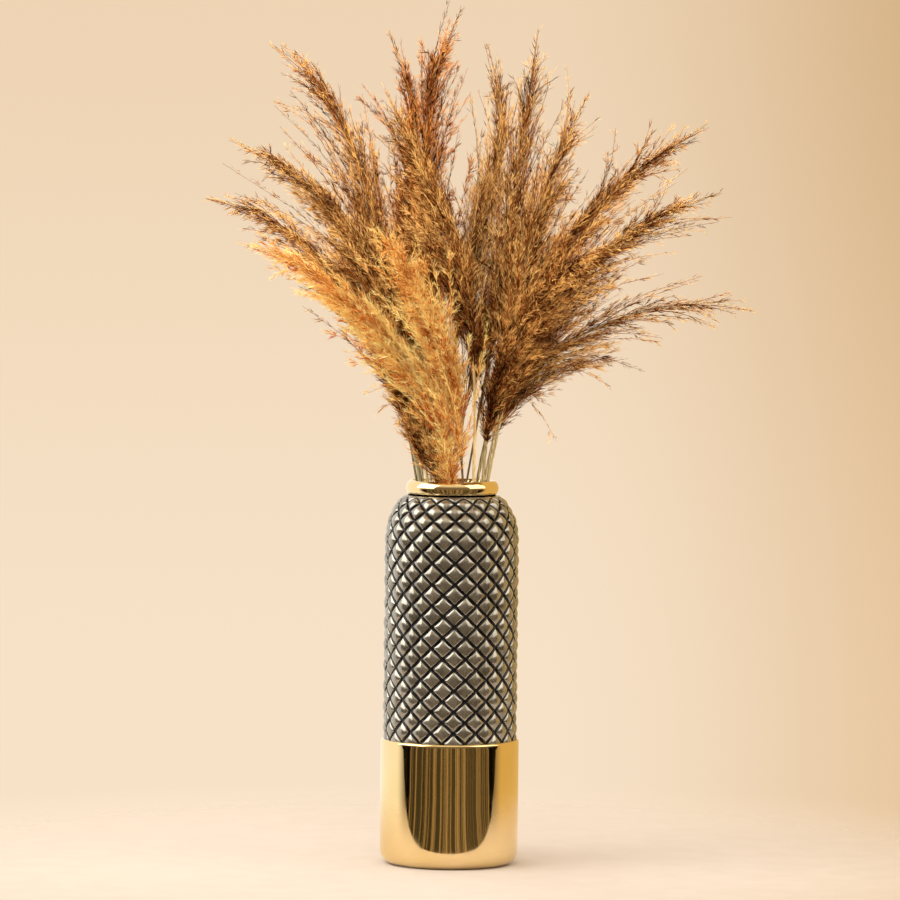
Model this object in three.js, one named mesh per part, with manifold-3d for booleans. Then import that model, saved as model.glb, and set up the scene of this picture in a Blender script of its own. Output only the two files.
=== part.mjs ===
// A tall studded ceramic vase holding a loose bunch of dried pampas grass.
// Millimetres, +Z up. The origin is the centre of the vase's foot, on the surface it stands on.
// +X is to the right and -Y to the front.

import * as THREE from 'three';
import { mergeVertices } from 'three/addons/utils/BufferGeometryUtils.js';
import Module from 'manifold-3d';

const wasm = await Module();
wasm.setup();

const UP = new THREE.Vector3(0, 0, 1);
const DEGREE = Math.PI / 180;
const GAP = 0.3;

// The vase: a plain base band, a studded wall and shoulder, and a rolled lip.
const VASE_HEIGHT = 365;
const FOOT_RADIUS = 53;
const FOOT_CORNER = 12.7;
const BAND_RADIUS = FOOT_RADIUS + FOOT_CORNER;
const BAND_HEIGHT = 119;
const BAND_EDGE = 2.5;
const BAND_SIDES = 40;
const GROOVE_RADIUS = 61.4;
const STUDS_AROUND = 18;
const STUD_RISE = 3.4;
const HALF_ROW = 10;
const WALL_HALF_ROWS = 19;
const SHOULDER_START = BAND_HEIGHT + WALL_HALF_ROWS * HALF_ROW;
const LIP_RADIUS = 44;
const LIP_HEIGHT = 14.5;
const LIP_SIDES = 32;
const MOUTH_RADIUS = 36.5;
const NECK_RADIUS = 42.5;
const WALL = 5.5;
const FLOOR = 8;
const CAVITY_SIDES = 24;

// The stems stand on the vase's floor in a ring and lean on the inside of the lip.
// Seen from above, each one turns clockwise on its way up, so the middle of the vase stays clear.
const STEM_RADIUS = 2.1;
const STEM_SIDES = 6;
const FOOT_RING = 50;
const FOOT_TURN = 120;
const FOOT_LIFT = FLOOR + 1;
const LEAN_HEIGHT = VASE_HEIGHT - LIP_HEIGHT / 2;
const LEAN_RING = MOUTH_RADIUS - STEM_RADIUS - 1.4;

// The seed heads: a firm core along a bending spine, with pointed locks of side branches.
const CORE_SIDES = 6;
const CORE_STEPS = [0, 0.1, 0.22, 0.36, 0.52, 0.68, 0.84, 1];
const CORE_BASE = 2.2;
const LOCK_SIDES = 3;
const LOCK_STEPS = [0, 0.35, 0.7, 1];
const LOCK_RADII = [3, 2.8, 1.8, 0];
const LOCKS_EACH = 9;
const LOCK_SPREAD = 137.5;
const LOCK_TRIES = 8;

const COLOURS = { orange: 0xc98b45, tan: 0xb07844, rust: 0x8f5a30, brown: 0xa3703f };

// One entry for each stalk, counter-clockwise around the lip.
// rim: where the stem leans on the lip, in degrees from +X. neck: height at which the seed head begins.
// tip: where the seed head ends. rise: how steeply its end points up, in degrees.
// heading: the way its end points, seen from above, where it isn't straight away from the stem.
// stiff: how much of its length keeps the stem's direction. girth: radius of the core.
// ends: where its longest side branches end.
const STALKS = [
  { rim: 8, neck: 398, tip: [245, -92, 639], rise: 14, stiff: 0.42, girth: 12, colour: 'tan',
    ends: [[199, -72, 650], [259, -66, 617], [216, -98, 662]] },
  { rim: 28, neck: 404, tip: [283, -10, 529], rise: -18, stiff: 0.36, girth: 11, colour: 'tan',
    ends: [[224, -34, 519], [180, -30, 471], [236, 16, 561]] },
  { rim: 48, neck: 415, tip: [243, 64, 708], rise: 30, stiff: 0.45, girth: 12, colour: 'brown',
    ends: [[154, 84, 703], [186, 50, 706]] },
  { rim: 68, neck: 425, tip: [78, 40, 795], rise: 82, stiff: 0.5, girth: 12, colour: 'tan',
    ends: [[96, 62, 760]] },
  { rim: 88, neck: 404, tip: [124, 160, 664], rise: 32, stiff: 0.4, girth: 12, colour: 'brown',
    ends: [[76, 176, 640]] },
  { rim: 108, neck: 430, tip: [27, 98, 783], rise: 64, heading: 180, stiff: 0.5, girth: 11, colour: 'tan',
    ends: [[44, 120, 700]] },
  { rim: 128, neck: 424, tip: [3.5, 22, 813], rise: 62, heading: 0, stiff: 0.5, girth: 12, colour: 'rust',
    ends: [[-34, 40, 782], [14, 56, 735]] },
  { rim: 148, neck: 396, tip: [-46, 192, 652], rise: 35, stiff: 0.3, girth: 10, colour: 'brown',
    ends: [[-74, 178, 636]] },
  { rim: 168, neck: 420, tip: [-66, 118, 796], rise: 62, heading: 165, stiff: 0.44, girth: 10, colour: 'rust',
    ends: [[-92, 112, 744]] },
  { rim: 188, neck: 400, tip: [-150, 150, 655], rise: 28, stiff: 0.4, girth: 12, colour: 'brown',
    ends: [[-108, 172, 618]] },
  { rim: 208, neck: 415, tip: [-180, 42, 779], rise: 26, stiff: 0.5, girth: 13, colour: 'brown',
    ends: [[-173, 20, 719]] },
  { rim: 228, neck: 402, tip: [-237, 0, 630], rise: 4, stiff: 0.36, girth: 10.5, colour: 'brown',
    ends: [[-196, 40, 600]] },
  { rim: 248, neck: 396, tip: [-212, -52, 686], rise: 22, stiff: 0.46, girth: 12, colour: 'tan',
    ends: [[-217, -84, 662]] },
  { rim: 268, neck: 386, tip: [-192, -134, 586], rise: 8, stiff: 0.28, girth: 10, colour: 'orange',
    ends: [[-166, -140, 566]] },
  { rim: 288, neck: 384, tip: [-72, -184, 606], rise: 30, stiff: 0.36, girth: 12, colour: 'orange',
    ends: [[-34, -168, 590]] },
  { rim: 308, neck: 412, tip: [-68, -98, 735], rise: 62, stiff: 0.56, girth: 13, colour: 'tan',
    ends: [[-92, -92, 690]] },
  { rim: 328, neck: 398, tip: [138, -160, 590], rise: 14, stiff: 0.38, girth: 12, colour: 'brown',
    ends: [[98, -166, 610]] },
  { rim: 348, neck: 412, tip: [123, -72, 732], rise: 58, stiff: 0.48, girth: 12, colour: 'tan',
    ends: [[103, -58, 756], [133, -84, 708]] },
];

function toSolid(geometry) {
  geometry.deleteAttribute('normal');
  geometry.deleteAttribute('uv');
  const merged = mergeVertices(geometry, 1e-4);
  const corners = merged.index.array;
  const triVerts = [];
  for (let first = 0; first < corners.length; first += 3) {
    const [a, b, c] = corners.slice(first, first + 3);
    if (a !== b && b !== c && c !== a) {
      triVerts.push(a, b, c);
    }
  }
  const vertProperties = new Float32Array(merged.attributes.position.array);
  const mesh = new wasm.Mesh({ numProp: 3, vertProperties, triVerts: new Uint32Array(triVerts) });
  return new wasm.Manifold(mesh);
}

function toGeometry(solid) {
  const mesh = solid.getMesh();
  const geometry = new THREE.BufferGeometry();
  geometry.setAttribute('position', new THREE.Float32BufferAttribute(mesh.vertProperties, 3));
  geometry.setIndex(new THREE.Uint32BufferAttribute(mesh.triVerts, 1));
  geometry.computeVertexNormals();
  return geometry;
}

// Points of an arc in the radius and height plane, from one angle to another.
function arc(radius, height, acrossRadius, alongRadius, from, to, steps) {
  const points = [];
  for (let step = 0; step <= steps; step += 1) {
    const angle = (from + ((to - from) * step) / steps) * DEGREE;
    points.push([radius + acrossRadius * Math.cos(angle), height + alongRadius * Math.sin(angle)]);
  }
  return points;
}

// A solid of revolution about Z from a profile of [radius, height] points.
function turned(profile, sides) {
  const points = profile.map(([radius, height]) => new THREE.Vector2(radius, height));
  const geometry = new THREE.LatheGeometry(points, sides);
  geometry.rotateX(Math.PI / 2);
  return toSolid(geometry);
}

// Radius and height of each half-row of the stud pattern, from inside the band to under the lip.
function studRows() {
  const rows = [];
  for (let row = -1; row <= WALL_HALF_ROWS; row += 1) {
    rows.push({ radius: GROOVE_RADIUS, height: BAND_HEIGHT + row * HALF_ROW });
  }
  const across = GROOVE_RADIUS - NECK_RADIUS;
  const along = VASE_HEIGHT - LIP_HEIGHT - SHOULDER_START;
  let angle = 0;
  while (angle < Math.PI / 2) {
    const radius = NECK_RADIUS + across * Math.cos(angle);
    const step = (HALF_ROW * radius) / GROOVE_RADIUS;
    angle += step / Math.hypot(across * Math.sin(angle), along * Math.cos(angle));
    const reached = Math.min(angle, Math.PI / 2);
    rows.push({
      radius: NECK_RADIUS + across * Math.cos(reached),
      height: SHOULDER_START + along * Math.sin(reached),
    });
  }
  return rows;
}

// The studded wall and shoulder: pyramids in staggered rows, with grooves between their feet.
function studdedWall() {
  const rows = studRows();
  const columns = 2 * STUDS_AROUND;
  const positions = [];
  rows.forEach((row, rowIndex) => {
    const below = rows[Math.max(rowIndex - 1, 0)];
    const above = rows[Math.min(rowIndex + 1, rows.length - 1)];
    const slope = Math.atan2(below.radius - above.radius, above.height - below.height);
    const rise = (STUD_RISE * row.radius) / GROOVE_RADIUS;
    const isEnd = rowIndex === 0 || rowIndex === rows.length - 1;
    for (let column = 0; column < columns; column += 1) {
      const raised = (rowIndex + column) % 2 === 0 && !isEnd;
      const radius = row.radius + (raised ? rise * Math.cos(slope) : 0);
      const height = row.height + (raised ? rise * Math.sin(slope) : 0);
      const angle = (2 * Math.PI * column) / columns;
      positions.push(radius * Math.cos(angle), radius * Math.sin(angle), height);
    }
  });
  const triangles = [];
  for (let row = 0; row < rows.length - 1; row += 1) {
    for (let column = 0; column < columns; column += 1) {
      const next = (column + 1) % columns;
      const a = row * columns + column;
      const b = row * columns + next;
      const c = (row + 1) * columns + next;
      const d = (row + 1) * columns + column;
      if ((row + column) % 2 === 0) {
        triangles.push(a, b, d, b, c, d);
      } else {
        triangles.push(a, b, c, a, c, d);
      }
    }
  }
  const lastRow = (rows.length - 1) * columns;
  for (let column = 1; column < columns - 1; column += 1) {
    triangles.push(0, column + 1, column);
    triangles.push(lastRow, lastRow + column, lastRow + column + 1);
  }
  const geometry = new THREE.BufferGeometry();
  geometry.setAttribute('position', new THREE.Float32BufferAttribute(positions, 3));
  geometry.setIndex(triangles);
  return toSolid(geometry);
}

function baseBand() {
  const foot = arc(FOOT_RADIUS, FOOT_CORNER, FOOT_CORNER, FOOT_CORNER, -90, 0, 4);
  const edge = arc(BAND_RADIUS - BAND_EDGE, BAND_HEIGHT - BAND_EDGE, BAND_EDGE, BAND_EDGE, 0, 90, 2);
  return turned([[0, 0], ...foot, ...edge, [0, BAND_HEIGHT]], BAND_SIDES);
}

function rolledLip() {
  const across = (LIP_RADIUS - MOUTH_RADIUS) / 2;
  const middle = VASE_HEIGHT - LIP_HEIGHT / 2;
  const bead = arc(MOUTH_RADIUS + across, middle, across, LIP_HEIGHT / 2, -90, 90, 5);
  const inside = arc(MOUTH_RADIUS + across, middle, across, LIP_HEIGHT / 2, 90, 180, 2);
  const throat = [[MOUTH_RADIUS, middle - LIP_HEIGHT / 2 - WALL]];
  const under = [[NECK_RADIUS - 1, middle - LIP_HEIGHT / 2 - WALL]];
  const outline = [...bead, ...inside.slice(1), ...throat, ...under];
  return turned([...outline, outline[0]], LIP_SIDES);
}

// The hollow inside, open through the mouth.
function cavity() {
  const low = BAND_RADIUS - WALL;
  const high = GROOVE_RADIUS + STUD_RISE / 3 - WALL;
  const rise = VASE_HEIGHT - LIP_HEIGHT - SHOULDER_START;
  const floor = [[low - FLOOR, FLOOR], [low, 2 * FLOOR]];
  const step = [[low, BAND_HEIGHT - 2 * WALL], [high, BAND_HEIGHT - WALL]];
  const shoulder = arc(MOUTH_RADIUS, SHOULDER_START - WALL, high - MOUTH_RADIUS, rise, 0, 90, 4);
  const top = VASE_HEIGHT - LIP_HEIGHT / 2;
  const outline = [[0, FLOOR], ...floor, ...step, ...shoulder, [MOUTH_RADIUS, top], [0, top]];
  return turned(outline, CAVITY_SIDES);
}

function vaseSolid() {
  const shell = baseBand().add(studdedWall()).subtract(cavity());
  return shell.add(rolledLip());
}

// A closed rod with flat-sided sections along a line of points. A last radius of 0 makes a point.
function taperedRod(points, radii, sides) {
  const positions = [];
  const triangles = [];
  const last = points.length - 1;
  points.forEach((point, step) => {
    const before = points[Math.max(step - 1, 0)];
    const after = points[Math.min(step + 1, last)];
    const turn = new THREE.Quaternion().setFromUnitVectors(UP, after.clone().sub(before).normalize());
    const corners = radii[step] > 0 ? sides : 1;
    for (let corner = 0; corner < corners; corner += 1) {
      const angle = (2 * Math.PI * corner) / sides;
      const spoke = new THREE.Vector3(Math.cos(angle), Math.sin(angle), 0);
      spoke.multiplyScalar(radii[step]).applyQuaternion(turn).add(point);
      positions.push(spoke.x, spoke.y, spoke.z);
    }
  });
  for (let step = 0; step < last; step += 1) {
    const pointed = step === last - 1 && radii[last] === 0;
    for (let corner = 0; corner < sides; corner += 1) {
      const a = step * sides + corner;
      const b = step * sides + ((corner + 1) % sides);
      if (pointed) {
        triangles.push(a, b, last * sides);
      } else {
        triangles.push(a, b, b + sides, a, b + sides, a + sides);
      }
    }
  }
  for (let corner = 1; corner < sides - 1; corner += 1) {
    triangles.push(0, corner + 1, corner);
    if (radii[last] > 0) {
      triangles.push(last * sides, last * sides + corner, last * sides + corner + 1);
    }
  }
  const geometry = new THREE.BufferGeometry();
  geometry.setAttribute('position', new THREE.Float32BufferAttribute(positions, 3));
  geometry.setIndex(triangles);
  return toSolid(geometry);
}

function around(angle, radius, height) {
  return new THREE.Vector3(radius * Math.cos(angle * DEGREE), radius * Math.sin(angle * DEGREE), height);
}

// The line of one stalk: a straight stem up to the neck, then a spine that bends out to the tip.
function stalkLine(stalk) {
  const foot = around(stalk.rim + FOOT_TURN, FOOT_RING, FOOT_LIFT);
  const lean = around(stalk.rim, LEAN_RING, LEAN_HEIGHT);
  const direction = lean.clone().sub(foot).normalize();
  const neck = foot.clone().addScaledVector(direction, (stalk.neck - foot.z) / direction.z);
  const tip = new THREE.Vector3(...stalk.tip);
  const reach = tip.distanceTo(neck);
  const heading = stalk.heading ?? Math.atan2(tip.y - neck.y, tip.x - neck.x) / DEGREE;
  const ending = around(heading, Math.cos(stalk.rise * DEGREE), Math.sin(stalk.rise * DEGREE));
  const early = neck.clone().addScaledVector(direction, reach * stalk.stiff);
  const late = tip.clone().addScaledVector(ending, -reach * 0.3);
  const start = neck.clone().addScaledVector(direction, GAP);
  const spine = new THREE.CubicBezierCurve3(start, early, late, tip);
  return { foot, neck, spine };
}

function stemSolid(line) {
  return taperedRod([line.foot, line.neck], [STEM_RADIUS, STEM_RADIUS], STEM_SIDES);
}

function coreRadius(stalk, along) {
  const swell = Math.sin(Math.PI * Math.pow(along, 0.85));
  return CORE_BASE * (1 - along) + stalk.girth * Math.pow(Math.max(swell, 0), 1.4);
}

function coreSolid(stalk, line, extra) {
  const points = CORE_STEPS.map((along) => line.spine.getPoint(along));
  const radii = CORE_STEPS.map((along) => (along < 1 ? coreRadius(stalk, along) + extra : 0));
  return taperedRod(points, radii, CORE_SIDES);
}

// A pointed lock that leaves the core along the spine and bends away to its end.
function lockSolid(line, from, end, extra) {
  const root = line.spine.getPoint(from);
  const along = line.spine.getTangent(from);
  const bend = root.clone().addScaledVector(along, 0.5 * root.distanceTo(end));
  const curve = new THREE.QuadraticBezierCurve3(root, bend, end);
  const points = LOCK_STEPS.map((step) => curve.getPoint(step));
  const radii = LOCK_RADII.map((radius) => (radius > 0 ? radius + extra : 0));
  return taperedRod(points, radii, LOCK_SIDES);
}

// How far along the spine a long side branch leaves it, so that it bends away only a little.
function rootOf(line, end) {
  let best = 0.1;
  let shortest = Infinity;
  for (let from = 0.1; from < 0.8; from += 0.05) {
    const offset = end.clone().sub(line.spine.getPoint(from));
    const ahead = offset.normalize().dot(line.spine.getTangent(from));
    const miss = Math.abs(ahead - 0.93);
    if (miss < shortest) {
      shortest = miss;
      best = from;
    }
  }
  return best;
}

function lockEnd(stalk, line, from, turn) {
  const beside = Math.min(from + 0.26, 0.96);
  const along = line.spine.getTangent(beside);
  const sideways = new THREE.Quaternion().setFromUnitVectors(UP, along);
  const spread = stalk.girth * (2.1 - 1.5 * beside);
  const spoke = around(turn, coreRadius(stalk, beside) * 0.5 + spread, 0).applyQuaternion(sideways);
  return line.spine.getPoint(beside).add(spoke);
}

function boxesMeet(first, second) {
  return [0, 1, 2].every((axis) => first.min[axis] <= second.max[axis] && second.min[axis] <= first.max[axis]);
}

// Solids already placed, with the stalk that each belongs to.
const placed = [];

function isClear(solid, owner) {
  const box = solid.boundingBox();
  return placed.every((other) => other.owner === owner || !boxesMeet(box, other.box)
    || other.solid.intersect(solid).volume() < 1e-3);
}

function place(solid, owner) {
  placed.push({ solid, owner, box: solid.boundingBox() });
}

// Grows a lock where it has room among the stalks already placed, and tells whether it did.
function addLock(index, from, end) {
  if (!isClear(lockSolid(lines[index], from, end, GAP), index)) {
    return false;
  }
  const lock = lockSolid(lines[index], from, end, 0);
  plumes[index].push(lock);
  place(lock, index);
  return true;
}

const group = new THREE.Group();

function addMesh(name, solid, colour, roughness, metalness = 0) {
  const material = new THREE.MeshStandardMaterial({ color: colour, roughness, metalness, flatShading: true });
  const mesh = new THREE.Mesh(toGeometry(solid), material);
  mesh.name = name;
  group.add(mesh);
}

function numbered(name, index) {
  return `${name}_${String(index + 1).padStart(2, '0')}`;
}

const vase = vaseSolid();
place(vase, 'vase');
addMesh('vase', vase, 0x6d6258, 0.25, 0.5);

const lines = STALKS.map(stalkLine);
const plumes = STALKS.map(() => []);

STALKS.forEach((stalk, index) => {
  const stem = stemSolid(lines[index]);
  place(stem, index);
  addMesh(numbered('stem', index), stem, 0xa39163, 0.6);
});

// A core that presses on an earlier one gives way to it.
const fullCores = [];
STALKS.forEach((stalk, index) => {
  const full = coreSolid(stalk, lines[index], 0);
  const core = fullCores.reduce((rest, earlier) => rest.subtract(earlier), full);
  fullCores.push(coreSolid(stalk, lines[index], GAP));
  plumes[index].push(core);
  place(core, index);
});

STALKS.forEach((stalk, index) => {
  stalk.ends.forEach((point) => {
    const end = new THREE.Vector3(...point);
    addLock(index, rootOf(lines[index], end), end);
  });
});

for (let round = 0; round < LOCKS_EACH; round += 1) {
  STALKS.forEach((stalk, index) => {
    const from = 0.1 + (0.66 * round) / (LOCKS_EACH - 1);
    for (let attempt = 0; attempt < LOCK_TRIES; attempt += 1) {
      const turn = LOCK_SPREAD * (round + index) + (360 / LOCK_TRIES) * attempt;
      if (addLock(index, from, lockEnd(stalk, lines[index], from, turn))) {
        break;
      }
    }
  });
}

plumes.forEach((pieces, index) => {
  const solid = pieces.reduce((whole, piece) => whole.add(piece));
  addMesh(numbered('plume', index), solid, COLOURS[STALKS[index].colour], 0.9);
});

export default group;
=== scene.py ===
# A studded ceramic vase with a gold band and lip, holding a bunch of dried pampas grass.

import math

import bpy
import numpy as np
from mathutils import Matrix, Vector


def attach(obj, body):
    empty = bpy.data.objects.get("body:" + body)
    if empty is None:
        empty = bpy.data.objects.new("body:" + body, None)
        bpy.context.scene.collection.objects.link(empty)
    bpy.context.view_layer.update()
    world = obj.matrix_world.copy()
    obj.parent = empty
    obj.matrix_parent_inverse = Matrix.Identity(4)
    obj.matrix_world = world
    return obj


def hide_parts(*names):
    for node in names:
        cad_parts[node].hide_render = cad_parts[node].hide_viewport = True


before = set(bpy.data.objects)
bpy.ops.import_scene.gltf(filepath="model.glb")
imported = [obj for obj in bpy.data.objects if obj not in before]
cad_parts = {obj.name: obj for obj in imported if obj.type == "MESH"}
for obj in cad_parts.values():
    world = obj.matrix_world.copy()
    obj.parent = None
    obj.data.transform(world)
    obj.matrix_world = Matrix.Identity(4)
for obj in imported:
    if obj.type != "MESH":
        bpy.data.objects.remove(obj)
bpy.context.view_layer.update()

MM = 0.001

# The vase in millimetres, as in its solid
STUDS_AROUND = 18
GROOVE_RADIUS = 61.4
BAND_RADIUS = 65.7
BAND_HEIGHT = 119.0
FOOT_RADIUS = 53.0
FOOT_CORNER = 12.7
BAND_EDGE = 2.5
HALF_ROW = 10.0
WALL_HALF_ROWS = 19
SHOULDER_START = BAND_HEIGHT + WALL_HALF_ROWS * HALF_ROW
VASE_HEIGHT = 365.0
LIP_HEIGHT = 14.5
LIP_RADIUS = 44.0
MOUTH_RADIUS = 36.5
NECK_RADIUS = 42.5
STUD_RISE = 3.4
WALL = 5.5
FLOOR = 8.0
LIP_MIDDLE = VASE_HEIGHT - LIP_HEIGHT / 2
SHOULDER_DEPTH = GROOVE_RADIUS - NECK_RADIUS
SHOULDER_RISE = VASE_HEIGHT - LIP_HEIGHT - SHOULDER_START

# What the render shapes more finely than the solid: the lip's round inside, the shoulder's fall, the
# turn of the pattern in degrees, the underside's recess, the grid lines across a stud, the parts of its
# height, the groove as shares of half a stud, and the rows where the studs fade into the neck
LIP_INSIDE = 2.0
SHOULDER_FALL = 1.4
PATTERN_TURN = 3.0
FOOT_RECESS = 0.6
RECESS_EDGE = 3.0
STUD_CUTS = (0, 0.1, 0.14, 0.21, 0.34, 0.5, 0.66, 0.79, 0.86, 0.9, 1)
STUD_STEP = 0.5
STUD_PEAK = 2.7
STUD_SHARPNESS = 0.26
GROOVE_WIDTH = 0.18
GROOVE_SIDE = 0.14
GROOVE_DEPTH = 0.35
FADING_ROWS = 1.6
PLAIN_ROWS = 0.9
LATHE_SIDES = 144

# The stalks in millimetres, as in their solids
STEM_RADIUS = 2.1
FOOT_RING = 50.0
FOOT_TURN = 120.0
FOOT_LIFT = 9.0
LEAN_RING = 33.0
CORE_BASE = 2.2
LOCKS_EACH = 9
LOCK_TRIES = 8
GOLDEN_TURN = 137.5

# The stems' render in millimetres: the joints of the straw, their swelling, and how far a stem bows
STEM_STEPS = 41
STEM_SIDES = 10
JOINTS = 6
JOINT_SPACING = (70, 115)
JOINT_SWELL = 0.4
JOINT_LENGTH = 4.0
STEM_BOW = 1.2

# How a plume grows, in millimetres and degrees: side branches, the share of them that fan out, the last
# place that one starts from, the length of branch to a branchlet, and scales to a millimetre
BRANCHES = 124
FANNED = 0.17
LAST_START = 0.86
RACHIS_RADIUS = 1.35
BRANCH_RADIUS = 0.34
BRANCH_STEPS = 5
BRANCH_SIDES = 3
BRANCH_SCALES = 0.6
BRANCHLET_PITCH = 13
BRANCHLET_ANGLE = (10, 30)
BRANCHLET_LENGTH = (13, 32)
BRANCHLET_HALF_WIDTH = 0.28
BRANCHLET_SCALES = 1.02
SCALE_ANGLE = (6, 28)
SCALE_LENGTH = (5.0, 11.5)
SCALE_HALF_WIDTH = (0.24, 0.44)

# One entry for each stalk. As in the solids: where it leans on the lip in degrees, the height in
# millimetres where its seed head begins, where that ends, how steeply its end points up and the way it
# heads, how stiff it is, the girth of its middle, its colour, and the ends of its longest side branches.
# For the render alone: the straw's colour and its width over that of the solid, how dense the scales and
# how full the branches are, how much of the plume's foot is bare, how far below the neck thin branches
# begin, which way the branches drift, and the ends of thin strays.
STALKS = [
    dict(rim=8, neck=398, tip=(245, -92, 639), rise=14, stiff=0.42, girth=12, tone="tan",
         straw="pale", width=0.6, dense=0.75, bare=0.05,
         ends=[(199, -72, 650), (259, -66, 617), (216, -98, 662)]),
    dict(rim=28, neck=404, tip=(283, -10, 529), rise=-18, stiff=0.36, girth=11, tone="tan",
         straw="pale", width=0.6, dense=0.8, full=0.42,
         strays=[(91, -30, 438), (98, -34, 404), (147, -30, 470)],
         ends=[(224, -34, 519), (180, -30, 471), (236, 16, 561)]),
    dict(rim=48, neck=415, tip=(243, 64, 708), rise=30, stiff=0.45, girth=12, tone="brown",
         straw="olive", width=0.8, dense=0.75,
         ends=[(154, 84, 703), (186, 50, 706)]),
    dict(rim=68, neck=425, tip=(78, 40, 795), rise=82, stiff=0.5, girth=12, tone="tan",
         straw="dark", width=0.5, dense=0.6, bare=0.09,
         ends=[(96, 62, 760)]),
    dict(rim=88, neck=404, tip=(124, 160, 664), rise=32, stiff=0.4, girth=12, tone="brown",
         straw="pale", width=0.5, bare=0.08,
         ends=[(76, 176, 640)]),
    dict(rim=108, neck=430, tip=(27, 98, 783), rise=64, heading=180, stiff=0.5, girth=11, tone="tan",
         straw="pale", width=0.6, dense=0.7, bare=0.08,
         ends=[(44, 120, 700)]),
    dict(rim=128, neck=424, tip=(3.5, 22, 813), rise=62, heading=0, stiff=0.5, girth=12, tone="rust",
         straw="pale", width=0.6, dense=1.15,
         ends=[(-34, 40, 782), (14, 56, 735)]),
    dict(rim=148, neck=396, tip=(-46, 192, 652), rise=35, stiff=0.3, girth=10, tone="brown",
         straw="olive", width=0.7,
         ends=[(-74, 178, 636)]),
    dict(rim=168, neck=420, tip=(-66, 118, 796), rise=62, heading=165, stiff=0.44, girth=10, tone="rust",
         straw="olive", width=0.6,
         ends=[(-92, 112, 744)]),
    dict(rim=188, neck=400, tip=(-150, 150, 655), rise=28, stiff=0.4, girth=12, tone="brown",
         straw="dark", width=0.55,
         ends=[(-108, 172, 618)]),
    dict(rim=208, neck=415, tip=(-180, 42, 779), rise=26, stiff=0.5, girth=13, tone="brown",
         straw="grey", width=1.05, dense=0.75,
         ends=[(-173, 20, 719)]),
    dict(rim=228, neck=402, tip=(-237, 0, 630), rise=4, stiff=0.36, girth=10.5, tone="brown",
         straw="olive", width=0.7, full=0.85, low=34,
         ends=[(-196, 40, 600)]),
    dict(rim=248, neck=396, tip=(-212, -52, 686), rise=22, stiff=0.46, girth=12, tone="tan",
         straw="olive", width=0.7, low=46,
         strays=[(-84, -50, 447), (-65, -45, 434), (-52, -40, 415)],
         ends=[(-217, -84, 662)]),
    dict(rim=268, neck=386, tip=(-192, -134, 586), rise=8, stiff=0.28, girth=10, tone="orange",
         straw="olive", width=0.6, low=46,
         strays=[(-142, -70, 552), (-122, -66, 505), (-97, -72, 505), (-105, -62, 488)],
         ends=[(-166, -140, 566)]),
    dict(rim=288, neck=384, tip=(-72, -184, 606), rise=30, stiff=0.36, girth=12, tone="orange",
         straw="dark", width=0.55, low=4,
         ends=[(-34, -168, 590)]),
    dict(rim=308, neck=412, tip=(-68, -98, 735), rise=62, stiff=0.56, girth=13, tone="tan",
         straw="yellow", width=0.75, bare=0.1, sweep=(-0.12, 0, -0.03),
         ends=[(-92, -92, 690)]),
    dict(rim=328, neck=398, tip=(138, -160, 590), rise=14, stiff=0.38, girth=12, tone="brown",
         straw="olive", width=0.72,
         ends=[(98, -166, 610)]),
    dict(rim=348, neck=412, tip=(123, -72, 732), rise=58, stiff=0.48, girth=12, tone="tan",
         straw="pale", width=0.62, dense=0.6, bare=0.08,
         ends=[(103, -58, 756), (133, -84, 708)]),
]


# Meshes

def make_piece(name, parts, materials, smooth=True):
    """One object from its parts.

    A part is its points in mm, its faces as rows of equal length, the material of all or of each, and
    the shade of each point or None.
    """
    points = np.concatenate([np.asarray(part[0], dtype=np.float64) for part in parts])
    starts = np.cumsum([0] + [len(part[0]) for part in parts])
    loops = []
    totals = []
    slots = []
    for part, start in zip(parts, starts):
        faces = np.asarray(part[1], dtype=np.int64)
        loops.append((faces + start).ravel())
        totals.append(np.full(len(faces), faces.shape[1]))
        slot = part[2]
        slots.append(np.full(len(faces), slot) if np.isscalar(slot) else np.asarray(slot))
    loops = np.concatenate(loops)
    totals = np.concatenate(totals)
    mesh = bpy.data.meshes.new(name)
    mesh.vertices.add(len(points))
    mesh.vertices.foreach_set("co", (points * MM).astype(np.float32).ravel())
    mesh.loops.add(len(loops))
    mesh.loops.foreach_set("vertex_index", loops.astype(np.int32))
    mesh.polygons.add(len(totals))
    mesh.polygons.foreach_set("loop_start", (np.cumsum(totals) - totals).astype(np.int32))
    mesh.polygons.foreach_set("material_index", np.concatenate(slots).astype(np.int32))
    mesh.polygons.foreach_set("use_smooth", np.full(len(totals), smooth))
    if any(part[3] is not None for part in parts):
        shade = np.concatenate([
            np.zeros(len(part[0])) if part[3] is None else np.asarray(part[3]) for part in parts
        ])
        layer = mesh.attributes.new("shade", "FLOAT", "POINT")
        layer.data.foreach_set("value", shade.astype(np.float32))
    mesh.update(calc_edges=True)
    mesh.validate()
    for material in materials:
        mesh.materials.append(material)
    piece = bpy.data.objects.new(name, mesh)
    bpy.context.scene.collection.objects.link(piece)
    return piece


def unit(vectors):
    return vectors / np.maximum(np.linalg.norm(vectors, axis=-1, keepdims=True), 1e-9)


def lathe(profile, sides):
    """Points and quads of a surface of revolution from (radius, height) points."""
    profile = np.asarray(profile, dtype=float)
    angles = np.arange(sides) * 2 * math.pi / sides
    ring = np.stack([np.cos(angles), np.sin(angles)], axis=1)
    points = np.concatenate([
        profile[:, None, 0, None] * ring[None],
        np.broadcast_to(profile[:, None, 1, None], (len(profile), sides, 1)),
    ], axis=2).reshape(-1, 3)
    level = np.arange(len(profile) - 1)[:, None] * sides
    here = np.arange(sides)[None]
    there = (here + 1) % sides
    quads = np.stack([level + here, level + there, level + sides + there, level + sides + here], axis=2)
    return points, quads.reshape(-1, 4)


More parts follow.
